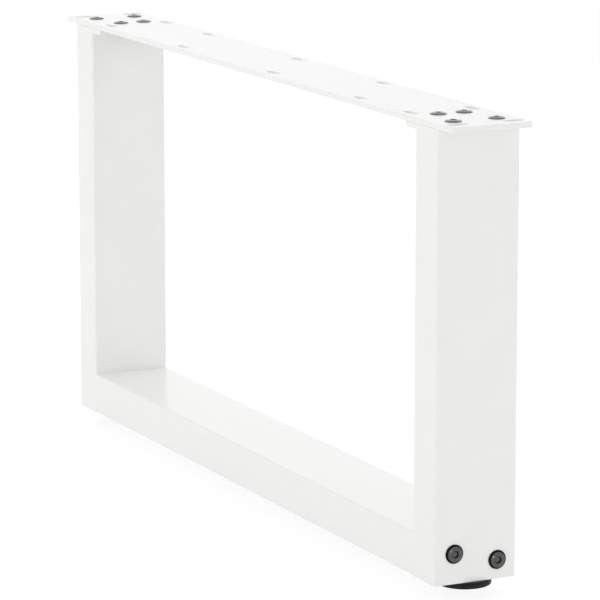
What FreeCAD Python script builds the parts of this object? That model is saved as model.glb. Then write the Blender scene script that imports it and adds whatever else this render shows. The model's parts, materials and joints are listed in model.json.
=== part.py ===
"""U-shaped table leg: two tube uprights, a crossbar at the floor and a slotted top plate, on two levelling feet.

Frame: X along the leg, Y across it, Z up. The origin is on the floor, midway between the feet.
All sizes are millimetres.
"""
import FreeCAD, Part
import math
import os

Vector = FreeCAD.Vector
UP = Vector(0, 0, 1)

# Overall sizes
frame_length = 780.0        # over the outer faces of the uprights
table_height = 410.0        # floor to the top face of the top plate, feet screwed in

# Rectangular tube, used for the uprights and the crossbar
tube_width = 80.0           # across the leg
tube_depth = 40.0
tube_wall = 2.0
tube_corner = 2.0           # outer corner radius

# Top plate
plate_thickness = 5.0
plate_overhang = 24.0       # beyond the outer face of each upright
plate_corner = 4.0
plate_edge = 0.8            # eased upper edge
seam_edge = 0.3             # eased lower edge of the plate, which meets the flanges

# Slots for the table top's screws
slot_length = 20.0
slot_width = 8.5
slot_row_margin = 10.0      # centre of the long rows from the plate's long edges
corner_slot_inset = 67.0    # corner slots, from the outer face of an upright
end_slot_inset = 13.0       # cross slots, from the plate's ends
end_slot_pitch = 53.0
front_slot_from_right = 95.0    # staggered slots, from the corner slots and from mid-length
front_slot_from_left = 174.0
front_slot_from_middle = 51.0
back_slot_from_right = 167.0
back_slot_from_left = 102.0
back_slot_from_middle = -20.0

# Flanges on the uprights' heads, and their welds
flange_thickness = 5.0
flange_reach = 19.0         # beyond the inner face of the upright
weld_leg = 7.0
weld_margin = 0.5           # weld stops short of the upright's rounded corners

# Screws between the top plate and the flanges
screw_diameter = 8.0
screw_head_diameter = 15.0
screw_head_rim = 0.4
screw_head_rise = 1.1       # height of the dome above the rim
screw_socket = 5.0          # hex key size
screw_socket_depth = 1.2
screw_end_gap = 0.6         # screw tips stop this far above the flanges' undersides
outer_screw_inset = 7.5     # from the outer face of the upright
outer_screw_pitch = 42.0
inner_screw_margin = 9.0    # from the flange's inner edge
inner_screw_pitch = 25.0

# Bolts between the uprights and the crossbar
bolt_diameter = 8.0
bolt_head_diameter = 17.0
bolt_head_rim = 0.8
bolt_head_rise = 1.9
bolt_socket = 6.0
bolt_socket_depth = 2.0
bolt_tip = 6.0              # bolt length past the end plate
bolt_pitch = 42.3
bolt_shift = 0.3            # middle of the pair from the tube's mid-width
bolt_height = 22.1          # middle of the pair above the tubes' underside
bolt_step = 9.8             # one bolt sits this much higher than the other
end_plate_thickness = 5.0
sleeve_wall = 3.0

# Levelling feet
foot_plate_thickness = 4.0
pad_diameter = 48.0
pad_height = 6.0            # floor to the tubes' underside, foot screwed in
pad_gap = 0.3               # between the pad and the tube
pad_round = 3.5             # rounded lower edge
pad_top_chamfer = 0.6
pad_groove = 0.4
pad_groove_height = 4.3
pad_floor = 2.0             # plastic below the stud
stud_diameter = 8.0
stud_length = 30.0          # above the pad
nut_size = 13.0             # across flats
nut_height = 6.5

# Clearances
hole_clearance = 0.25       # screws and bolts in plain holes, on the radius
thread_clearance = 0.05     # threads in tapped holes and nuts, on the radius
seat_clearance = 0.2        # plates inside the tubes, on each side
tip_chamfer = 0.8           # chamfer on screw, bolt and stud tips
socket_land = 0.6           # flat crown round a hex socket's corners

# Levels and stations that follow from the sizes above
half_length = frame_length / 2
half_width = tube_width / 2
inner_face = half_length - tube_depth
plate_half_length = half_length + plate_overhang
plate_bottom = table_height - plate_thickness
upright_top = plate_bottom - flange_thickness
corner_slot_x = half_length - corner_slot_inset
end_slot_x = plate_half_length - end_slot_inset
slot_row_y = half_width - slot_row_margin
flange_edge = inner_face - flange_reach
foot_x = half_length - tube_depth / 2


def box(x0, x1, y0, y1, z0, z1):
    """A box between two corners."""
    return Part.makeBox(x1 - x0, y1 - y0, z1 - z0, Vector(x0, y0, z0))


def rounded_bar(x0, x1, y0, y1, z0, z1, axis, radius):
    """A box whose four edges along one axis are rounded."""
    solid = box(x0, x1, y0, y1, z0, z1)
    long_edges = [edge for edge in solid.Edges if abs(edge.tangentAt(edge.FirstParameter).dot(axis)) > 0.99]
    return solid.makeFillet(radius, long_edges)


def tube(x0, x1, y0, y1, z0, z1, axis):
    """A rectangular tube that is open at both ends along one axis."""
    outside = rounded_bar(x0, x1, y0, y1, z0, z1, axis, tube_corner)
    dx, dy, dz = [0.0 if part > 0.5 else tube_wall for part in axis]
    inner_corner = max(tube_corner - tube_wall, tube_wall / 4)
    inside = rounded_bar(x0 + dx, x1 - dx, y0 + dy, y1 - dy, z0 + dz, z1 - dz, axis, inner_corner)
    return outside.cut(inside)


def eased(solid, level, radius):
    """Round every edge of a plate that lies flat at one level."""
    rim = [edge for edge in solid.Edges
           if abs(edge.BoundBox.ZMin - level) < 1e-6 and abs(edge.BoundBox.ZMax - level) < 1e-6]
    return solid.makeFillet(radius, rim)


def drill(radius, start, length, direction=UP):
    """A round cutter or pin."""
    return Part.makeCylinder(radius, length, start, direction)


def slot_cutter(x, y, along_x):
    """A round-ended slot through the top plate."""
    straight = (slot_length - slot_width) / 2
    radius = slot_width / 2
    dx, dy = (straight, radius) if along_x else (radius, straight)
    ends = [(x - straight, y), (x + straight, y)] if along_x else [(x, y - straight), (x, y + straight)]
    cutter = box(x - dx, x + dx, y - dy, y + dy, plate_bottom, table_height)
    for end_x, end_y in ends:
        cutter = cutter.fuse(drill(radius, Vector(end_x, end_y, plate_bottom), plate_thickness))
    return cutter.removeSplitter()


def hexagon(flats, start, height, direction=UP):
    """A hexagonal prism, measured across its flats."""
    corner = flats / math.sqrt(3)
    points = [Vector(corner * math.cos(math.radians(60 * k)), corner * math.sin(math.radians(60 * k)), 0)
              for k in range(7)]
    prism = Part.Face(Part.makePolygon(points)).extrude(Vector(0, 0, height))
    prism.Placement = FreeCAD.Placement(start, FreeCAD.Rotation(UP, direction))
    return prism


def domed_screw(diameter, length, head_diameter, rim, rise, socket, socket_depth):
    """A screw with a low domed hex-socket head: seat at the origin, head up, shank down."""
    head_radius = head_diameter / 2
    crown_radius = socket / math.sqrt(3) + socket_land
    dome_radius = (rise ** 2 + (head_radius - crown_radius) ** 2) / (2 * rise)
    half_turn = math.asin(min(1.0, (head_radius - crown_radius) / dome_radius)) / 2
    dome_middle = Vector(crown_radius + dome_radius * math.sin(half_turn), 0,
                         rim + rise - dome_radius * (1 - math.cos(half_turn)))
    shank = diameter / 2
    corners = [Vector(head_radius, 0, rim), Vector(head_radius, 0, 0), Vector(shank, 0, 0),
               Vector(shank, 0, tip_chamfer - length), Vector(shank - tip_chamfer, 0, -length),
               Vector(0, 0, -length), Vector(0, 0, rim + rise), Vector(crown_radius, 0, rim + rise)]
    outline = [Part.LineSegment(a, b).toShape() for a, b in zip(corners, corners[1:])]
    outline.append(Part.Arc(corners[-1], dome_middle, corners[0]).toShape())
    solid = Part.Face(Part.Wire(outline)).revolve(Vector(0, 0, 0), UP, 360)
    return solid.cut(hexagon(socket, Vector(0, 0, rim + rise - socket_depth), socket_depth))


def placed(shape, position, direction=UP):
    """A copy of a shape whose own Z axis is turned to a direction and moved to a position."""
    copy = shape.copy()
    copy.Placement = FreeCAD.Placement(position, FreeCAD.Rotation(UP, direction))
    return copy


def turned_end(shape):
    """The same piece at the left end, half a turn about the Z axis away."""
    copy = shape.copy()
    copy.rotate(Vector(0, 0, 0), UP, 180)
    return copy


def screw_places():
    """Where the top plate's screws sit at the right end."""
    outer_x = half_length - outer_screw_inset
    inner_x = flange_edge + inner_screw_margin
    return ([(outer_x, side * outer_screw_pitch / 2) for side in (-1, 1)]
            + [(inner_x, side * inner_screw_pitch / 2) for side in (-1, 1)])


def bolt_places():
    """Where the crossbar's bolts pass the right upright: (y, z)."""
    middle = pad_height + bolt_height
    return [(bolt_shift - bolt_pitch / 2, middle + bolt_step / 2),
            (bolt_shift + bolt_pitch / 2, middle - bolt_step / 2)]


def slot_places():
    """Centres of the slots, and whether each runs along the plate."""
    places = [(end * corner_slot_x, side * slot_row_y, True) for end in (-1, 1) for side in (-1, 1)]
    places += [(end * end_slot_x, side * end_slot_pitch / 2, False) for end in (-1, 1) for side in (-1, 1)]
    rows = [(-1, front_slot_from_right, front_slot_from_left, front_slot_from_middle),
            (1, back_slot_from_right, back_slot_from_left, back_slot_from_middle)]
    for side, from_right, from_left, from_middle in rows:
        for x in (corner_slot_x - from_right, from_left - corner_slot_x, from_middle):
            places.append((x, side * slot_row_y, True))
    return places


def make_top_plate():
    """The long plate with its slots and the clearance holes for its screws."""
    plate = rounded_bar(-plate_half_length, plate_half_length, -half_width, half_width,
                        plate_bottom, table_height, UP, plate_corner)
    plate = eased(plate, table_height, plate_edge)
    plate = eased(plate, plate_bottom, seam_edge)
    cutters = [slot_cutter(x, y, along_x) for x, y, along_x in slot_places()]
    hole = screw_diameter / 2 + hole_clearance
    for x, y in screw_places():
        for end in (-1, 1):
            cutters.append(drill(hole, Vector(end * x, end * y, plate_bottom), plate_thickness))
    return plate.cut(cutters)


def make_upright():
    """The right upright, with the bolt holes through both of its broad walls."""
    upright = tube(inner_face, half_length, -half_width, half_width, pad_height, upright_top, UP)
    hole = bolt_diameter / 2 + hole_clearance
    cutters = [drill(hole, Vector(inner_face, y, z), tube_depth, Vector(1, 0, 0)) for y, z in bolt_places()]
    return upright.cut(cutters)


def make_flange():
    """The plate on the right upright's head, tapped for the top plate's screws."""
    flange = rounded_bar(flange_edge, half_length, -half_width, half_width, upright_top, plate_bottom,
                         UP, tube_corner)
    hole = screw_diameter / 2 + thread_clearance
    return flange.cut([drill(hole, Vector(x, y, upright_top), flange_thickness) for x, y in screw_places()])


def make_flange_weld():
    """The hollow fillet weld between the right flange and the upright's inner face."""
    length = tube_width - 2 * (tube_corner + weld_margin)
    corner = Vector(inner_face, -length / 2, upright_top)
    toe_flange = corner + Vector(-weld_leg, 0, 0)
    toe_tube = corner + Vector(0, 0, -weld_leg)
    hollow = corner + Vector(-weld_leg, 0, -weld_leg) * (1 - math.sqrt(0.5))
    outline = [Part.LineSegment(corner, toe_flange).toShape(),
               Part.Arc(toe_flange, hollow, toe_tube).toShape(),
               Part.LineSegment(toe_tube, corner).toShape()]
    return Part.Face(Part.Wire(outline)).extrude(Vector(0, length, 0))


def make_crossbar():
    """The tube between the uprights, flush with their undersides."""
    return tube(-inner_face, inner_face, -half_width, half_width, pad_height, pad_height + tube_depth,
                Vector(1, 0, 0))


def make_crossbar_end_plate():
    """The tapped plate welded into the crossbar's right end."""
    inset = tube_wall + seat_clearance
    plate = rounded_bar(inner_face - end_plate_thickness, inner_face, inset - half_width, half_width - inset,
                        pad_height + inset, pad_height + tube_depth - inset, Vector(1, 0, 0), tube_wall)
    hole = bolt_diameter / 2 + thread_clearance
    start = inner_face - end_plate_thickness
    return plate.cut([drill(hole, Vector(start, y, z), end_plate_thickness, Vector(1, 0, 0))
                      for y, z in bolt_places()])


def make_bolt_sleeves():
    """The spacer sleeves between the walls of the right upright."""
    bore = bolt_diameter / 2 + hole_clearance
    length = tube_depth - 2 * tube_wall
    sleeves = []
    for y, z in bolt_places():
        start = Vector(inner_face + tube_wall, y, z)
        outside = drill(bore + sleeve_wall, start, length, Vector(1, 0, 0))
        sleeves.append(outside.cut(drill(bore, start, length, Vector(1, 0, 0))))
    return Part.makeCompound(sleeves)


def make_plate_screws():
    """The four screws that hold the top plate on the right flange."""
    length = plate_thickness + flange_thickness - screw_end_gap
    screw = domed_screw(screw_diameter, length, screw_head_diameter, screw_head_rim, screw_head_rise,
                        screw_socket, screw_socket_depth)
    return Part.makeCompound([placed(screw, Vector(x, y, table_height)) for x, y in screw_places()])


def make_crossbar_bolts():
    """The two bolts through the right upright into the crossbar."""
    length = tube_depth + end_plate_thickness + bolt_tip
    bolt = domed_screw(bolt_diameter, length, bolt_head_diameter, bolt_head_rim, bolt_head_rise,
                       bolt_socket, bolt_socket_depth)
    return Part.makeCompound([placed(bolt, Vector(half_length, y, z), Vector(1, 0, 0)) for y, z in bolt_places()])


def make_foot_plate():
    """The plate that closes the right upright at the bottom."""
    inset = tube_wall + seat_clearance
    plate = rounded_bar(inner_face + inset, half_length - inset, inset - half_width, half_width - inset,
                        pad_height, pad_height + foot_plate_thickness, UP, tube_wall)
    hole = stud_diameter / 2 + thread_clearance
    return plate.cut(drill(hole, Vector(foot_x, 0, pad_height), foot_plate_thickness))


def make_foot_nut():
    """The weld nut above the right foot plate."""
    seat = Vector(foot_x, 0, pad_height + foot_plate_thickness)
    hole = stud_diameter / 2 + thread_clearance
    return hexagon(nut_size, seat, nut_height).cut(drill(hole, seat, nut_height))


def make_foot_stud():
    """The stud of the right foot, moulded into its pad."""
    top = pad_height - pad_gap + stud_length
    stud = drill(stud_diameter / 2, Vector(foot_x, 0, pad_floor), top - pad_floor)
    tip = [edge for edge in stud.Edges if abs(edge.BoundBox.ZMin - top) < 1e-6]
    return stud.makeChamfer(tip_chamfer, tip)


def make_foot_pad():
    """The round pad of the right foot, grooved round its rim and rounded below."""
    radius = pad_diameter / 2
    top = pad_height - pad_gap
    bore = stud_diameter / 2 + thread_clearance
    turn = pad_round * (1 - math.sqrt(0.5))
    points = [Vector(0, 0, 0), Vector(radius - pad_round, 0, 0), Vector(radius, 0, pad_round),
              Vector(radius, 0, pad_groove_height - pad_groove), Vector(radius - pad_groove, 0, pad_groove_height),
              Vector(radius, 0, pad_groove_height + pad_groove), Vector(radius, 0, top - pad_top_chamfer),
              Vector(radius - pad_top_chamfer, 0, top), Vector(bore, 0, top), Vector(bore, 0, pad_floor),
              Vector(0, 0, pad_floor), Vector(0, 0, 0)]
    outline = [Part.LineSegment(a, b).toShape() for a, b in zip(points, points[1:])]
    outline[1] = Part.Arc(points[1], Vector(radius - turn, 0, turn), points[2]).toShape()
    pad = Part.Face(Part.Wire(outline)).revolve(Vector(0, 0, 0), UP, 360)
    pad.translate(Vector(foot_x, 0, 0))
    return pad


PAIRED = {
    "upright": make_upright,
    "flange": make_flange,
    "flange_weld": make_flange_weld,
    "plate_screws": make_plate_screws,
    "crossbar_end_plate": make_crossbar_end_plate,
    "crossbar_bolts": make_crossbar_bolts,
    "bolt_sleeves": make_bolt_sleeves,
    "foot_plate": make_foot_plate,
    "foot_nut": make_foot_nut,
    "foot_stud": make_foot_stud,
    "foot_pad": make_foot_pad,
}


def main():
    os.makedirs("parts", exist_ok=True)
    nodes = {"top_plate": make_top_plate(), "crossbar": make_crossbar()}
    for name, make in PAIRED.items():
        piece = make()
        nodes["right_" + name] = piece
        nodes["left_" + name] = turned_end(piece)
    for name, shape in nodes.items():
        shape.exportStep("parts/" + name + ".step")


main()
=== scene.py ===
"""Looks of the U-shaped table leg: its finishes, fasteners, welds, feet, studio and camera.

Units are metres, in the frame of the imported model: X along the leg, Y across it, Z up.
"""
import json
import math

import bmesh
import bpy
from mathutils import Matrix, Vector


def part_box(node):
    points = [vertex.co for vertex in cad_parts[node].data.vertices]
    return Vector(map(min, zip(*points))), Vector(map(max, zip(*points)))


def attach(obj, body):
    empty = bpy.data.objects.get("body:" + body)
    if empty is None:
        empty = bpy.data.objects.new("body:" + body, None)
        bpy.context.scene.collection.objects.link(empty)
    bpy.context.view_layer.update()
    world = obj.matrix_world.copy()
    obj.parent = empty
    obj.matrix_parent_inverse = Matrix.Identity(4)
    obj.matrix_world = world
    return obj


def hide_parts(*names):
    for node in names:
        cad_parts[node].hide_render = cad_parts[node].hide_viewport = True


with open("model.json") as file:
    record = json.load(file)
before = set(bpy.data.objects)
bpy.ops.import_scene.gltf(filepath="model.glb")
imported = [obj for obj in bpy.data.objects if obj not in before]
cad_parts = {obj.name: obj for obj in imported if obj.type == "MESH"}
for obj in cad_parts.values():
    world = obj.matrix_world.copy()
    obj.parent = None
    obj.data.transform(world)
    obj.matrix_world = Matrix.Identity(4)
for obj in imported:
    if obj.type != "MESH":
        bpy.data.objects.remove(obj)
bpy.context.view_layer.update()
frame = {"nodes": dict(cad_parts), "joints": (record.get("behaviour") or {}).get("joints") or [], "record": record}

MM = 0.001
SIDES = ("right", "left")
SMOOTH_ANGLE = math.radians(32)
MERGE_DISTANCE = 1e-6
UPWARD = (0.0, 0.0, 1.0)
OUTWARD = {"right": (1.0, 0.0, 0.0), "left": (-1.0, 0.0, 0.0)}

# Finishes, as linear colours
COAT_LIGHT = (0.885, 0.885, 0.872, 1.0)
COAT_SHADE = (0.868, 0.868, 0.853, 1.0)
OXIDE_LIGHT = (0.020, 0.020, 0.0205, 1.0)
OXIDE_SHADE = (0.013, 0.013, 0.0135, 1.0)
# Screw crowns: oxide lightened as a painted sheen, in place of their reflection of the white surround
SCREW_SHEEN_LIGHT = (0.085, 0.085, 0.086, 1.0)
SCREW_SHEEN_SHADE = (0.060, 0.060, 0.061, 1.0)
# Near-black oxide on the rims of the heads and in their sockets: painted shade
PAINTED_SHADE_LIGHT = (0.006, 0.006, 0.006, 1.0)
PAINTED_SHADE_DARK = (0.003, 0.003, 0.003, 1.0)
ZINC_LIGHT = (0.70, 0.71, 0.73, 1.0)
ZINC_SHADE = (0.55, 0.56, 0.59, 1.0)
PLASTIC_LIGHT = (0.018, 0.018, 0.018, 1.0)
PLASTIC_SHADE = (0.012, 0.012, 0.012, 1.0)
FLOOR_WHITE = (0.90, 0.90, 0.90, 1.0)
FLOOR_DIM = (0.14, 0.14, 0.14, 1.0)

# Grain of each finish
COAT_GRAIN = dict(mottle_scale=24.0, skin_scale=520.0, bump=0.22, smooth=0.21, rough=0.26)
OXIDE_GRAIN = dict(mottle_scale=700.0, skin_scale=3000.0, bump=0.12, smooth=0.18, rough=0.26)
EDGE_GRAIN = dict(mottle_scale=700.0, skin_scale=3000.0, bump=0.2, smooth=0.5, rough=0.6)
ZINC_GRAIN = dict(mottle_scale=160.0, skin_scale=1800.0, bump=0.15, smooth=0.28, rough=0.46)
PLASTIC_GRAIN = dict(mottle_scale=120.0, skin_scale=2400.0, bump=0.35, smooth=0.34, rough=0.46)
SKIN_DEPTH = 0.1 * MM
COAT_HAZE = 0.14
OIL_HAZE = 0.07
EDGE_SPECULAR = 0.1
PLASTIC_SPECULAR = 0.12

# Domed hex-socket fasteners
# The share of a dome past which the head is painted near-black as shade; above 1, none
SCREW = dict(head_radius=7.5 * MM, rim=0.4 * MM, rise=1.1 * MM, socket=5.0 * MM, depth=1.2 * MM,
             shank_radius=4.0 * MM, length=9.4 * MM, painted_shade_from=1.5)
BOLT = dict(head_radius=8.5 * MM, rim=0.8 * MM, rise=1.9 * MM, socket=6.0 * MM, depth=2.0 * MM,
            shank_radius=4.0 * MM, length=51.0 * MM, painted_shade_from=0.6)
INNER_SCREW_PITCH = 25.0 * MM
SOCKET_LAND = 0.6 * MM
SOCKET_LIP = 0.25 * MM
RIM_ROUND = 0.2 * MM
TIP_CHAMFER = 0.8 * MM
SOCKET_FLOOR = 0.8
CENTRE_FILL = 0.25
SOCKET_TURN = math.radians(60)
FASTENER_SEGMENTS = 48
DOME_RINGS = 10
SPIN_SEED = 4

# Levelling feet
THREAD_PITCH = 1.25 * MM
THREAD_CREST = 0.68 * MM
THREAD_SEGMENTS = 36
THREAD_STEPS = 8
THREAD_LEAD_IN = 1.4 * MM
THREAD_ROOT = 0.12
THREAD_LAND = 0.9
PAD_SEGMENTS = 128
PAD_LIP = 0.2 * MM
PAD_ROUND = 1.4 * MM
PAD_GROOVE = 0.4 * MM
PAD_GROOVE_HEIGHT = 4.3 * MM
PAD_GROOVE_SECTION = ((0.0, 0.95), (0.5, 0.5), (1.0, 0.0), (0.5, -0.5), (0.0, -0.95))
PAD_LIP_STEPS = 5
PAD_ROUND_STEPS = 10
PAD_BORE_FILL = 0.3
PAD_TOP_FILL = 0.6
PAD_BASE_FILL = 0.2

# Flange welds
RIPPLE_PITCH = 2.2 * MM
RIPPLE_DEPTH = 0.12
RIPPLE_WANDER = 0.05
RIPPLE_DRIFT = 0.7
WELD_STEP = 0.35 * MM
WELD_STEPS = 8
WELD_SEED = 11

# Crossbar joints
TUBE_CORNER = 2.0 * MM
LIP_STEPS = 8
LIP_STOP = math.radians(6)

# Studio
CAMERA_PLACE = (3.21226, -1.55647, 0.90661)
CAMERA_YAW = 153.8244
CAMERA_PITCH = 11.4403
CAMERA_LENS = 230.519
CAMERA_REACH = 100.0
SENSOR_WIDTH = 36.0
WORLD_LIGHT = 0.687
FLOOR_SIZE = 60.0
FLOOR_GLOW = 0.90
LEG_MIDDLE = (0.0, 0.0, 0.2)
BOLTED_END = (0.4, 0.0, 0.03)
SOFTBOXES = {
    "back_softbox": dict(place=(-0.3, 1.7, 2.4), size=2.0, power=15.2),
    "front_softbox": dict(place=(0.0, -3.0, 1.4), size=2.2, power=26.6),
    "near_softbox": dict(place=(3.2, 0.7, 0.42), size=0.8, power=14.0),
    "far_softbox": dict(place=(-2.6, 0.8, 0.8), size=1.4, power=12.0),
}
SPARK = dict(place=(3.38, 0.19, 0.03), size=0.40, power=11.0)


# Node helpers

def feed(tree, socket, value):
    """Link a socket to an output, or set its own value."""
    if isinstance(value, bpy.types.NodeSocket):
        tree.links.new(value, socket)
    else:
        socket.default_value = value


def add(tree, kind, inputs=None, **settings):
    """Add a node, with its settings and its inputs by name or place."""
    node = tree.nodes.new(kind)
    for name, value in settings.items():
        setattr(node, name, value)
    for key, value in (inputs or {}).items():
        feed(tree, node.inputs[key], value)
    return node


def math_node(tree, operation, *values):
    """A Math node's output."""
    return add(tree, "ShaderNodeMath", dict(enumerate(values)), operation=operation).outputs[0]


def new_group(name, kind, inputs, outputs):
    """A node group with named sockets; returns the tree, its inputs and its output node."""
    tree = bpy.data.node_groups.new(name, kind)
    for label, socket, value in inputs:
        item = tree.interface.new_socket(label, in_out="INPUT", socket_type=socket)
        if value is not None:
            item.default_value = value
    for label, socket in outputs:
        tree.interface.new_socket(label, in_out="OUTPUT", socket_type=socket)
    return tree, tree.nodes.new("NodeGroupInput").outputs, tree.nodes.new("NodeGroupOutput")


# Finishes

def make_fine_grain():
    """Shader group: a soft mottle and a fine skin height, from two sizes of noise."""
    tree, given, result = new_group(
        "fine_grain", "ShaderNodeTree",
        [("Vector", "NodeSocketVector", None), ("Mottle Scale", "NodeSocketFloat", 30.0),
         ("Skin Scale", "NodeSocketFloat", 600.0)],
        [("Mottle", "NodeSocketFloat"), ("Height", "NodeSocketFloat")])
    mottle = add(tree, "ShaderNodeTexNoise",
                 {"Vector": given["Vector"], "Scale": given["Mottle Scale"],
                  "Detail": 3.0, "Roughness": 0.5})
    skin = add(tree, "ShaderNodeTexNoise",
               {"Vector": given["Vector"], "Scale": given["Skin Scale"],
                "Detail": 2.0, "Roughness": 0.45})
    spread = add(tree, "ShaderNodeMapRange",
                 {"Value": mottle.outputs[0], "From Min": 0.3, "From Max": 0.7})
    feed(tree, result.inputs["Mottle"], spread.outputs[0])
    feed(tree, result.inputs["Height"], skin.outputs[0])
    return tree


def new_material(name, specular=0.5):
    """An empty material with a Principled shader."""
    material = bpy.data.materials.new(name)
    material.use_nodes = True
    tree = material.node_tree
    tree.nodes.clear()
    shader = add(tree, "ShaderNodeBsdfPrincipled", {"Specular IOR Level": specular})
    output = add(tree, "ShaderNodeOutputMaterial")
    tree.links.new(shader.outputs[0], output.inputs["Surface"])
    return material, tree, shader


def grained(tree, shader, grain, light, shade, mottle_scale, skin_scale, bump, smooth, rough):
    """Give a shader its colour, roughness and skin from the shared grain."""
    place = add(tree, "ShaderNodeTexCoord").outputs["Object"]
    texture = add(tree, "ShaderNodeGroup", node_tree=grain)
    feed(tree, texture.inputs["Vector"], place)
    feed(tree, texture.inputs["Mottle Scale"], mottle_scale)
    feed(tree, texture.inputs["Skin Scale"], skin_scale)
    mottle = texture.outputs["Mottle"]
    colour = add(tree, "ShaderNodeMix", {0: mottle, 6: shade, 7: light}, data_type="RGBA")
    roughness = add(tree, "ShaderNodeMapRange", {"Value": mottle, "To Min": rough, "To Max": smooth})
    skin = add(tree, "ShaderNodeBump",
               {"Height": texture.outputs["Height"], "Strength": bump, "Distance": SKIN_DEPTH})
    feed(tree, shader.inputs["Base Color"], colour.outputs[2])
    feed(tree, shader.inputs["Roughness"], roughness.outputs[0])
    feed(tree, shader.inputs["Normal"], skin.outputs[0])


def make_powder_coat(grain):
    """White powder coat: a faint orange-peel skin under a soft gloss."""
    material, tree, shader = new_material("white_powder_coat")
    shader.inputs["Coat Weight"].default_value = 1.0
    shader.inputs["Coat Roughness"].default_value = COAT_HAZE
    grained(tree, shader, grain, COAT_LIGHT, COAT_SHADE, **COAT_GRAIN)
    return material


def make_oxide(grain, name, light, shade):
    """Dark oxide under a film of oil on the crowns of the fasteners; lighter colours give the screw crowns a
    painted sheen.
    """
    material, tree, shader = new_material(name)
    shader.inputs["Coat Weight"].default_value = 1.0
    shader.inputs["Coat Roughness"].default_value = OIL_HAZE
    grained(tree, shader, grain, light, shade, **OXIDE_GRAIN)
    return material


def make_painted_shade_oxide(grain):
    """Near-black oxide with little gloss on the edges of the heads and in their sockets, as painted shade."""
    material, tree, shader = new_material("matt_oxide", specular=EDGE_SPECULAR)
    grained(tree, shader, grain, PAINTED_SHADE_LIGHT, PAINTED_SHADE_DARK, **EDGE_GRAIN)
    return material


def make_zinc(grain):
    """Bright zinc on the studs, nuts and sleeves."""
    material, tree, shader = new_material("bright_zinc")
    shader.inputs["Metallic"].default_value = 1.0
    grained(tree, shader, grain, ZINC_LIGHT, ZINC_SHADE, **ZINC_GRAIN)
    return material


def make_foot_plastic(grain):
    """Fine matt black moulded plastic."""
    material, tree, shader = new_material("foot_plastic", specular=PLASTIC_SPECULAR)
    grained(tree, shader, grain, PLASTIC_LIGHT, PLASTIC_SHADE, **PLASTIC_GRAIN)
    return material


def make_floor_white():
    """White floor that shows as the pale background and keeps a faint shadow."""
    material = bpy.data.materials.new("floor_white")
    material.use_nodes = True
    tree = material.node_tree
    tree.nodes.clear()
    seen = seen_directly(tree)
    matt = add(tree, "ShaderNodeBsdfDiffuse", {"Color": FLOOR_WHITE})
    glow = add(tree, "ShaderNodeEmission", {"Strength": FLOOR_GLOW})
    dim = add(tree, "ShaderNodeBsdfDiffuse", {"Color": FLOOR_DIM})
    bright = add(tree, "ShaderNodeAddShader", {0: glow.outputs[0], 1: dim.outputs[0]})
    mixed = add(tree, "ShaderNodeMixShader", {0: seen, 1: matt.outputs[0], 2: bright.outputs[0]})
    output = add(tree, "ShaderNodeOutputMaterial")
    tree.links.new(mixed.outputs[0], output.inputs["Surface"])
    return material


def seen_directly(tree):
    """1 for what the camera sees straight, in a gloss or through glass, and 0 for other light."""
    path = add(tree, "ShaderNodeLightPath").outputs
    gloss = math_node(tree, "MAXIMUM", path["Is Glossy Ray"], path["Is Transmission Ray"])
    return math_node(tree, "MAXIMUM", path["Is Camera Ray"], gloss)


# Mesh helpers

def hexagon_radius(flats, angle):
    """Distance from the middle of a hexagon to its side in one direction."""
    return flats / 2 / math.cos((angle + SOCKET_TURN / 2) % SOCKET_TURN - SOCKET_TURN / 2)


def turned_mesh(name, rings, segments):
    """A closed turned shape. A ring is (radius, z, hexagonal, painted shade below it). The ends are filled."""
    mesh = bpy.data.meshes.new(name)
    shape = bmesh.new()
    loops = []
    for radius, z, hexagonal, dark in rings:
        loop = []
        for step in range(segments):
            angle = math.tau * step / segments
            reach = hexagon_radius(2 * radius, angle) if hexagonal else radius
            loop.append(shape.verts.new((reach * math.cos(angle), reach * math.sin(angle), z)))
        loops.append(loop)
    for ring, upper, lower in zip(rings, loops, loops[1:]):
        for step in range(segments):
            after = (step + 1) % segments
            face = shape.faces.new((upper[step], lower[step], lower[after], upper[after]))
            face.material_index = int(ring[3])
    shape.faces.new(loops[0])
    shape.faces.new(list(reversed(loops[-1])))
    bmesh.ops.recalc_face_normals(shape, faces=shape.faces)
    shape.to_mesh(mesh)
    shape.free()
    mesh.shade_smooth()
    mesh.set_sharp_from_angle(angle=SMOOTH_ANGLE)
    return mesh


def close_up(mesh):
    """Merge doubled points, turn the faces outwards and smooth the shading."""
    shape = bmesh.new()
    shape.from_mesh(mesh)
    bmesh.ops.remove_doubles(shape, verts=shape.verts, dist=MERGE_DISTANCE)
    bmesh.ops.recalc_face_normals(shape, faces=shape.faces)
    shape.to_mesh(mesh)
    shape.free()
    mesh.shade_smooth()
    mesh.set_sharp_from_angle(angle=SMOOTH_ANGLE)


def new_object(name, data):
    """An object at the origin."""
    item = bpy.data.objects.new(name, data)
    bpy.context.scene.collection.objects.link(item)
    return item


def grown(name, tree, values, start=None):
    """Run a Geometry Nodes tree on a mesh and return the result as a plain mesh object."""
    seed = new_object(name + "_seed", start or bpy.data.meshes.new(name + "_seed"))
    modifier = seed.modifiers.new("grow", "NODES")
    modifier.node_group = tree
    for item in tree.interface.items_tree:
        if item.in_out == "INPUT" and item.name in values:
            modifier[item.identifier] = values[item.name]
    bpy.context.view_layer.update()
    ready = seed.evaluated_get(bpy.context.evaluated_depsgraph_get())
    mesh = bpy.data.meshes.new_from_object(ready)
    mesh.name = name
    seed.modifiers.remove(modifier)
    bpy.data.objects.remove(seed)
    return new_object(name, mesh)


# Fasteners

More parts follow.
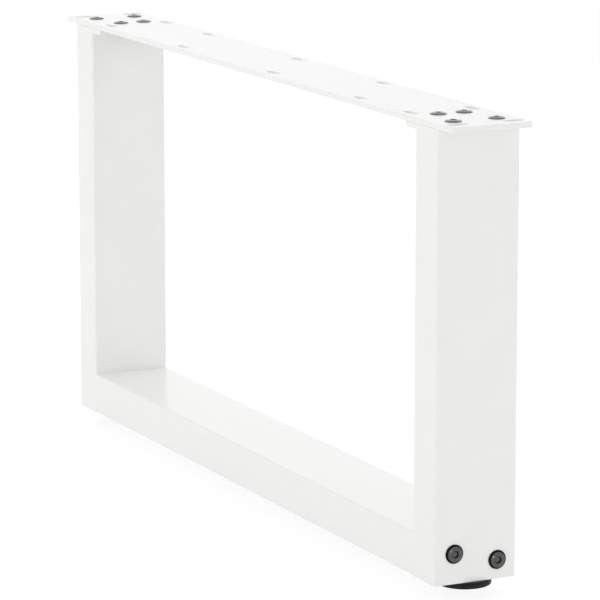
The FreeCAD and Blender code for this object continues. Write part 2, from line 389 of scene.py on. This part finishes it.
def fastener_mesh(name, head_radius, rim, rise, socket, depth, shank_radius, length, painted_shade_from):
    """One domed hex-socket fastener: seat at the origin, head up, painted shade past a share of its dome."""
    crown = socket / math.sqrt(3) + SOCKET_LAND
    top = rim + rise
    dome = (rise ** 2 + (head_radius - crown) ** 2) / (2 * rise)
    sweep = math.asin(min(1.0, (head_radius - crown) / dome))
    key = socket / 2
    # The socket's floor and walls, the rim and the shank are painted in shade
    rings = [(key * CENTRE_FILL, top - depth, False, False),
             (key * SOCKET_FLOOR, top - depth, True, True),
             (key, top - depth + SOCKET_LIP, True, True),
             (key, top - SOCKET_LIP, True, False),
             (key + SOCKET_LIP, top, True, False)]
    for step in range(DOME_RINGS + 1):
        share = step / DOME_RINGS
        turn = sweep * share
        height = top - dome * (1 - math.cos(turn))
        rings.append((crown + dome * math.sin(turn), height, False, share >= painted_shade_from))
    rings += [(head_radius, RIM_ROUND, False, True),
              (head_radius - RIM_ROUND, 0.0, False, True),
              (shank_radius, 0.0, False, True),
              (shank_radius, TIP_CHAMFER - length, False, True),
              (shank_radius - TIP_CHAMFER, -length, False, True),
              (shank_radius * CENTRE_FILL, -length, False, True)]
    return turned_mesh(name, rings, FASTENER_SEGMENTS)


def make_fastener_tree():
    """Geometry Nodes: a fastener on each point, along its axis, the socket at a random turn."""
    tree, given, result = new_group(
        "fasteners_on_points", "GeometryNodeTree",
        [("Points", "NodeSocketGeometry", None), ("Fastener", "NodeSocketObject", None),
         ("Finish", "NodeSocketMaterial", None), ("Edge Finish", "NodeSocketMaterial", None),
         ("Seed", "NodeSocketInt", SPIN_SEED)],
        [("Geometry", "NodeSocketGeometry")])
    source = add(tree, "GeometryNodeObjectInfo", {"Object": given["Fastener"]})
    axis = add(tree, "GeometryNodeInputNamedAttribute", {"Name": "axis"}, data_type="FLOAT_VECTOR")
    along = add(tree, "FunctionNodeAlignRotationToVector", {"Vector": axis.outputs[0]}, axis="Z")
    spin = add(tree, "FunctionNodeRandomValue",
               {"Min": 0.0, "Max": SOCKET_TURN, "Seed": given["Seed"]}, data_type="FLOAT")
    turn = add(tree, "FunctionNodeAxisAngleToRotation",
               {"Axis": UPWARD, "Angle": spin.outputs["Value"]})
    facing = add(tree, "FunctionNodeRotateRotation",
                 {0: along.outputs[0], 1: turn.outputs[0]}, rotation_space="LOCAL")
    placed = add(tree, "GeometryNodeInstanceOnPoints",
                 {"Points": given["Points"], "Instance": source.outputs["Geometry"],
                  "Rotation": facing.outputs[0]})
    real = add(tree, "GeometryNodeRealizeInstances", {"Geometry": placed.outputs[0]})
    # Faces given the painted shade finish keep it; the others take the crown finish
    painted_shade_faces = add(tree, "GeometryNodeMaterialSelection", {"Material": given["Edge Finish"]})
    bright = add(tree, "FunctionNodeBooleanMath", {0: painted_shade_faces.outputs[0]}, operation="NOT")
    done = add(tree, "GeometryNodeSetMaterial",
               {"Geometry": real.outputs[0], "Selection": bright.outputs[0],
                "Material": given["Finish"]})
    feed(tree, result.inputs["Geometry"], done.outputs[0])
    return tree


def axis_points(name, places, axis):
    """A mesh of bare points that carry one axis."""
    mesh = bpy.data.meshes.new(name)
    mesh.from_pydata(places, [], [])
    layer = mesh.attributes.new("axis", "FLOAT_VECTOR", "POINT")
    for item in layer.data:
        item.vector = axis
    return mesh


def plate_screw_places(side):
    """Seats of the top plate's screws at one end: an outer, wide pair and an inner, narrow pair."""
    low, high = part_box(side + "_plate_screws")
    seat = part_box("top_plate")[1].z
    reach = SCREW["head_radius"]
    ends = (high.x - reach, low.x + reach)
    outer, inner = ends if side == "right" else reversed(ends)
    wide = high.y - reach
    narrow = INNER_SCREW_PITCH / 2
    return [(outer, -wide, seat), (outer, wide, seat), (inner, -narrow, seat), (inner, narrow, seat)]


def crossbar_bolt_places(side):
    """Seats of the crossbar's bolts on one upright: one high, one low."""
    low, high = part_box(side + "_crossbar_bolts")
    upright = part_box(side + "_upright")
    face = upright[1].x if side == "right" else upright[0].x
    reach = BOLT["head_radius"]
    front, back = low.y + reach, high.y - reach
    upper, lower = (front, back) if side == "right" else (back, front)
    return [(face, upper, high.z - reach), (face, lower, low.z + reach)]


def make_fasteners(screw_finish, bolt_finish, painted_shade_finish):
    """All screws and bolts, one piece for each of the CAD's groups. Returns the pieces by kind."""
    tree = make_fastener_tree()
    kinds = {"plate_screws": (SCREW, plate_screw_places, screw_finish),
             "crossbar_bolts": (BOLT, crossbar_bolt_places, bolt_finish)}
    pieces = {"plate_screws": [], "crossbar_bolts": []}
    for kind, (sizes, places, finish) in kinds.items():
        model = new_object("one_of_" + kind, fastener_mesh("one_of_" + kind, **sizes))
        model.data.materials.append(finish)
        model.data.materials.append(painted_shade_finish)
        for side in SIDES:
            axis = UPWARD if kind == "plate_screws" else OUTWARD[side]
            name = side + "_" + kind
            points = axis_points(name + "_seats", places(side), axis)
            piece = grown(name + "_turned", tree,
                          {"Fastener": model, "Finish": finish, "Edge Finish": painted_shade_finish}, points)
            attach(piece, "frame")
            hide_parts(name)
            pieces[kind].append(piece)
        bpy.data.objects.remove(model)
    return pieces


# Levelling feet

def make_thread_tree():
    """Geometry Nodes: a threaded stud, its radius following a helix up its length."""
    tree, given, result = new_group(
        "threaded_stud", "GeometryNodeTree",
        [("Geometry", "NodeSocketGeometry", None), ("Radius", "NodeSocketFloat", None),
         ("Crest", "NodeSocketFloat", THREAD_CREST), ("Pitch", "NodeSocketFloat", THREAD_PITCH),
         ("Length", "NodeSocketFloat", None), ("Lead In", "NodeSocketFloat", THREAD_LEAD_IN),
         ("Rings", "NodeSocketInt", None), ("Middle", "NodeSocketVector", None),
         ("Finish", "NodeSocketMaterial", None)],
        [("Geometry", "NodeSocketGeometry")])
    rod = add(tree, "GeometryNodeMeshCylinder",
              {"Vertices": THREAD_SEGMENTS, "Side Segments": given["Rings"], "Radius": given["Radius"],
               "Depth": given["Length"]})
    position = add(tree, "GeometryNodeInputPosition").outputs[0]
    place = add(tree, "ShaderNodeSeparateXYZ", {0: position}).outputs
    angle = math_node(tree, "DIVIDE", math_node(tree, "ARCTAN2", place[1], place[0]), math.tau)
    climb = math_node(tree, "SUBTRACT", math_node(tree, "DIVIDE", place[2], given["Pitch"]), angle)
    valley = math_node(tree, "MULTIPLY", math_node(tree, "PINGPONG", climb, 0.5), 2.0)
    flank = add(tree, "ShaderNodeMapRange",
                {"Value": valley, "From Min": THREAD_ROOT, "From Max": THREAD_LAND,
                 "To Min": 0.0, "To Max": given["Crest"]}).outputs[0]
    tip = math_node(tree, "SUBTRACT", math_node(tree, "MULTIPLY", given["Length"], 0.5), place[2])
    lead = add(tree, "ShaderNodeMapRange",
               {"Value": tip, "From Min": 0.0, "From Max": given["Lead In"],
                "To Min": given["Crest"], "To Max": 0.0}).outputs[0]
    cut = math_node(tree, "MAXIMUM", flank, lead)
    left = math_node(tree, "SUBTRACT", given["Radius"], cut)
    scale = math_node(tree, "DIVIDE", left, given["Radius"])
    factors = add(tree, "ShaderNodeCombineXYZ", {0: scale, 1: scale, 2: 1.0})
    spot = add(tree, "ShaderNodeVectorMath", {0: position, 1: factors.outputs[0]}, operation="MULTIPLY")
    formed = add(tree, "GeometryNodeSetPosition",
                 {"Geometry": rod.outputs["Mesh"], "Position": spot.outputs[0]})
    moved = add(tree, "GeometryNodeTransform",
                {"Geometry": formed.outputs[0], "Translation": given["Middle"]})
    real = add(tree, "GeometryNodeRealizeInstances", {"Geometry": moved.outputs[0]})
    done = add(tree, "GeometryNodeSetMaterial",
               {"Geometry": real.outputs[0], "Material": given["Finish"]})
    feed(tree, result.inputs["Geometry"], done.outputs[0])
    return tree


def pad_rings(radius, height, bore_floor, bore):
    """Half section of a foot pad, from the stud's bore round the rim to the underside."""
    ring = []

    def point(r, z):
        ring.append((r, z, False, False))

    def corner(middle_r, middle_z, size, start, end, steps):
        for step in range(steps + 1):
            turn = math.radians(start + (end - start) * step / steps)
            point(middle_r + size * math.cos(turn), middle_z + size * math.sin(turn))

    point(bore * PAD_BORE_FILL, bore_floor)
    point(bore, bore_floor)
    point(bore, height)
    point(radius * PAD_TOP_FILL, height)
    corner(radius - PAD_LIP, height - PAD_LIP, PAD_LIP, 90, 0, PAD_LIP_STEPS)
    for share, level in PAD_GROOVE_SECTION:
        point(radius - PAD_GROOVE * share, PAD_GROOVE_HEIGHT + PAD_GROOVE * level)
    corner(radius - PAD_ROUND, PAD_ROUND, PAD_ROUND, 0, -90, PAD_ROUND_STEPS)
    point(radius * PAD_BASE_FILL, 0.0)
    return ring


def make_stud(side, body, tree, low, high, zinc):
    """The threaded stud of one foot, between two corners of its box."""
    length = high.z - low.z
    stud = grown(side + "_threaded_stud", tree,
                 {"Radius": (high.x - low.x) / 2, "Length": length, "Middle": (low + high) / 2,
                  "Rings": round(length / THREAD_PITCH * THREAD_STEPS), "Finish": zinc})
    close_up(stud.data)
    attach(stud, body)
    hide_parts(side + "_foot_stud")


def make_pad(side, body, bore_floor, bore, plastic):
    """The moulded pad of one foot, with a bore for its stud."""
    pad_low, pad_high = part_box(side + "_foot_pad")
    middle = (pad_low + pad_high) / 2
    radius = (pad_high.x - pad_low.x) / 2
    rings = pad_rings(radius, pad_high.z - pad_low.z, bore_floor, bore)
    mesh = turned_mesh(side + "_moulded_pad", rings, PAD_SEGMENTS)
    mesh.transform(Matrix.Translation((middle.x, middle.y, pad_low.z)))
    mesh.materials.append(plastic)
    pad = new_object(side + "_moulded_pad", mesh)
    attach(pad, body)
    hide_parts(side + "_foot_pad")


def make_feet(zinc, plastic):
    """The studs and the pads of both feet."""
    tree = make_thread_tree()
    for side in SIDES:
        body = side + "_foot"
        low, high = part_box(side + "_foot_stud")
        make_stud(side, body, tree, low, high, zinc)
        make_pad(side, body, low.z, (high.x - low.x) / 2, plastic)


# Flange welds

def weld_section(name, reach, drop):
    """Section of a hollow fillet weld, its corner at the origin, as a closed curve."""
    points = [(0.0, 0.0)]
    for step in range(WELD_STEPS + 1):
        turn = math.pi / 2 * step / WELD_STEPS
        points.append((reach * (1 - math.sin(turn)), drop * (1 - math.cos(turn))))
    curve = bpy.data.curves.new(name, "CURVE")
    curve.dimensions = "3D"
    spline = curve.splines.new("POLY")
    spline.points.add(len(points) - 1)
    for point, (x, y) in zip(spline.points, points):
        point.co = (x, y, 0.0, 1.0)
    spline.use_cyclic_u = True
    return new_object(name, curve)


def make_weld_tree():
    """Geometry Nodes: a weld bead along a line, with the ripples of its laying."""
    tree, given, result = new_group(
        "weld_bead", "GeometryNodeTree",
        [("Geometry", "NodeSocketGeometry", None), ("Section", "NodeSocketObject", None),
         ("Start", "NodeSocketVector", None), ("End", "NodeSocketVector", None),
         ("Step", "NodeSocketFloat", WELD_STEP), ("Ripple Pitch", "NodeSocketFloat", RIPPLE_PITCH),
         ("Ripple Depth", "NodeSocketFloat", RIPPLE_DEPTH),
         ("Wander", "NodeSocketFloat", RIPPLE_WANDER),
         ("Seed", "NodeSocketInt", WELD_SEED), ("Finish", "NodeSocketMaterial", None)],
        [("Geometry", "NodeSocketGeometry")])
    line = add(tree, "GeometryNodeCurvePrimitiveLine", {"Start": given["Start"], "End": given["End"]})
    fine = add(tree, "GeometryNodeResampleCurve",
               {"Curve": line.outputs[0], "Length": given["Step"]}, mode="LENGTH")
    level = add(tree, "GeometryNodeSetCurveNormal", {"Curve": fine.outputs[0]}, mode="Z_UP")
    run = add(tree, "GeometryNodeSplineParameter").outputs["Length"]
    count = math_node(tree, "DIVIDE", run, given["Ripple Pitch"])
    drift = add(tree, "ShaderNodeTexNoise",
                {"W": math_node(tree, "ADD", count, given["Seed"]), "Scale": RIPPLE_DRIFT},
                noise_dimensions="1D").outputs[0]
    beat = math_node(tree, "ADD", count, drift)
    wave = math_node(tree, "SINE", math_node(tree, "MULTIPLY", beat, math.pi))
    trough = math_node(tree, "SUBTRACT", 1.0, math_node(tree, "ABSOLUTE", wave))
    loss = math_node(tree, "ADD", math_node(tree, "MULTIPLY", trough, given["Ripple Depth"]),
                     math_node(tree, "MULTIPLY", drift, given["Wander"]))
    thick = add(tree, "GeometryNodeSetCurveRadius",
                {"Curve": level.outputs[0], "Radius": math_node(tree, "SUBTRACT", 1.0, loss)})
    section = add(tree, "GeometryNodeObjectInfo", {"Object": given["Section"]})
    swept = add(tree, "GeometryNodeCurveToMesh",
                {"Curve": thick.outputs[0], "Profile Curve": section.outputs["Geometry"],
                 "Scale": add(tree, "GeometryNodeInputRadius").outputs[0], "Fill Caps": True})
    real = add(tree, "GeometryNodeRealizeInstances", {"Geometry": swept.outputs[0]})
    done = add(tree, "GeometryNodeSetMaterial",
               {"Geometry": real.outputs[0], "Material": given["Finish"]})
    feed(tree, result.inputs["Geometry"], done.outputs[0])
    return tree


def make_welds(finish):
    """The bead under each flange, on the upright's inner face."""
    tree = make_weld_tree()
    for side in SIDES:
        node = side + "_flange_weld"
        low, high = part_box(node)
        corner_x, toe_x = (high.x, low.x) if side == "right" else (low.x, high.x)
        section = weld_section(side + "_weld_section", toe_x - corner_x, high.z - low.z)
        bead = grown(side + "_weld_bead", tree,
                     {"Section": section, "Start": (corner_x, low.y, high.z),
                      "End": (corner_x, high.y, high.z), "Finish": finish})
        close_up(bead.data)
        bpy.data.objects.remove(section)
        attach(bead, "frame")
        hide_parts(node)


# Crossbar joints

def lip_section(drop):
    """Section of a lip whose edge lies a drop inside the tube's side: (outward, inward) pairs."""
    quarter = math.pi / 2
    start = max(math.acos(1 - drop / TUBE_CORNER), LIP_STOP)
    points = [(0.0, drop)]
    for step in range(LIP_STEPS + 1):
        turn = start + (quarter - start) * step / LIP_STEPS
        points.append((TUBE_CORNER * (1 - math.sin(turn)), TUBE_CORNER * (1 - math.cos(turn))))
    return points


def lip_levels(low, high):
    """Heights up a lip, each with how far the crossbar's rounded edge lies inside its side."""
    rounds = []
    for step in range(LIP_STEPS + 1):
        turn = math.pi / 2 * step / LIP_STEPS
        rounds.append((TUBE_CORNER * (1 - math.cos(turn)), TUBE_CORNER * (1 - math.sin(turn))))
    lower = [(low + rise, drop) for rise, drop in rounds]
    upper = [(high - rise, drop) for rise, drop in reversed(rounds)]
    return lower + upper


def make_crossbar_lips(finish):
    """Lips on the crossbar's ends, which follow the rounded corners of the uprights."""
    low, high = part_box("crossbar")
    for side in SIDES:
        end, outward = (high.x, 1) if side == "right" else (low.x, -1)
        name = side + "_crossbar_lips"
        shape = bmesh.new()
        for flank, inward in ((low.y, 1), (high.y, -1)):
            loops = []
            for level, drop in lip_levels(low.z, high.z):
                loops.append([shape.verts.new((end + outward * u, flank + inward * w, level))
                              for u, w in lip_section(drop)])
            for lower, upper in zip(loops, loops[1:]):
                for step in range(len(lower)):
                    after = (step + 1) % len(lower)
                    shape.faces.new((lower[step], lower[after], upper[after], upper[step]))
        mesh = bpy.data.meshes.new(name)
        shape.to_mesh(mesh)
        shape.free()
        close_up(mesh)
        mesh.materials.append(finish)
        lips = new_object(name, mesh)
        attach(lips, "frame")


# Studio

def lamp(name, place, target, size, power, glints=False):
    """A square soft lamp that faces a point. Gloss shows a lamp only if it glints."""
    light = bpy.data.lights.new(name, "AREA")
    light.size = size
    light.energy = power
    item = new_object(name, light)
    item.visible_glossy = glints
    item.location = place
    item.rotation_mode = "QUATERNION"
    item.rotation_quaternion = (Vector(target) - Vector(place)).to_track_quat("-Z", "Y")
    return item


def light_only(item, pieces):
    """Let a lamp light these pieces and nothing else."""
    lit = bpy.data.collections.new(item.name + "_lit")
    for piece in pieces:
        lit.objects.link(piece)
    item.light_linking.receiver_collection = lit


def make_floor():
    """A floor as far down as the feet screw out."""
    reach = max(joint["range_m"][1] for joint in frame["joints"])
    half = FLOOR_SIZE / 2
    corners = [(-half, -half, -reach), (half, -half, -reach),
               (half, half, -reach), (-half, half, -reach)]
    mesh = bpy.data.meshes.new("floor")
    mesh.from_pydata(corners, [], [(0, 1, 2, 3)])
    mesh.materials.append(make_floor_white())
    floor = new_object("floor", mesh)


def make_lamps(bolts):
    """Four softboxes, and a spark that puts a glint on the bolts."""
    for name, settings in SOFTBOXES.items():
        lamp(name, target=LEG_MIDDLE, **settings)
    spark = lamp("spark", target=BOLTED_END, glints=True, **SPARK)
    light_only(spark, bolts)


def make_world():
    """A white surround: full white where it is seen, dimmer as a light."""
    world = bpy.data.worlds.new("studio")
    world.use_nodes = True
    tree = world.node_tree
    tree.nodes.clear()
    strength = add(tree, "ShaderNodeMapRange",
                   {"Value": seen_directly(tree), "To Min": WORLD_LIGHT, "To Max": 1.0}).outputs[0]
    sky = add(tree, "ShaderNodeBackground", {"Color": (1.0, 1.0, 1.0, 1.0), "Strength": strength})
    output = add(tree, "ShaderNodeOutputWorld")
    tree.links.new(sky.outputs[0], output.inputs["Surface"])
    bpy.context.scene.world = world


def make_camera():
    """The photo's camera."""
    camera = bpy.data.cameras.new("camera")
    camera.lens = CAMERA_LENS
    camera.sensor_width = SENSOR_WIDTH
    camera.clip_end = CAMERA_REACH
    eye = new_object("camera", camera)
    eye.location = CAMERA_PLACE
    yaw = math.radians(CAMERA_YAW)
    pitch = math.radians(CAMERA_PITCH)
    level = math.cos(pitch)
    ahead = Vector((math.cos(yaw) * level, math.sin(yaw) * level, -math.sin(pitch)))
    eye.rotation_mode = "QUATERNION"
    eye.rotation_quaternion = ahead.to_track_quat("-Z", "Y")
    bpy.context.scene.camera = eye


def make_studio(bolts):
    """Floor, lamps, world and camera."""
    bpy.context.scene.view_settings.view_transform = "Standard"
    make_floor()
    make_lamps(bolts)
    make_world()
    make_camera()


def finish_nodes(coat, oxide, zinc, plastic):
    """Put each finish on the CAD nodes of its slot."""
    finishes = {"white_coat": coat, "dark_fastener": oxide,
                "zinc_steel": zinc, "foot_plastic": plastic}
    for entry in frame["record"]["subparts"]:
        node = frame["nodes"][entry["node"]]
        for slot in node.material_slots:
            slot.material = finishes[entry["material_slot"]]


grain = make_fine_grain()
coat = make_powder_coat(grain)
oxide = make_oxide(grain, "black_oxide", OXIDE_LIGHT, OXIDE_SHADE)
# Screw crowns: lighter oxide as a painted sheen
worn_oxide = make_oxide(grain, "worn_oxide", SCREW_SHEEN_LIGHT, SCREW_SHEEN_SHADE)
matt_oxide = make_painted_shade_oxide(grain)
zinc = make_zinc(grain)
plastic = make_foot_plastic(grain)
finish_nodes(coat, oxide, zinc, plastic)
fasteners = make_fasteners(worn_oxide, oxide, matt_oxide)
make_feet(zinc, plastic)
make_welds(coat)
make_crossbar_lips(coat)
make_studio(fasteners["crossbar_bolts"])
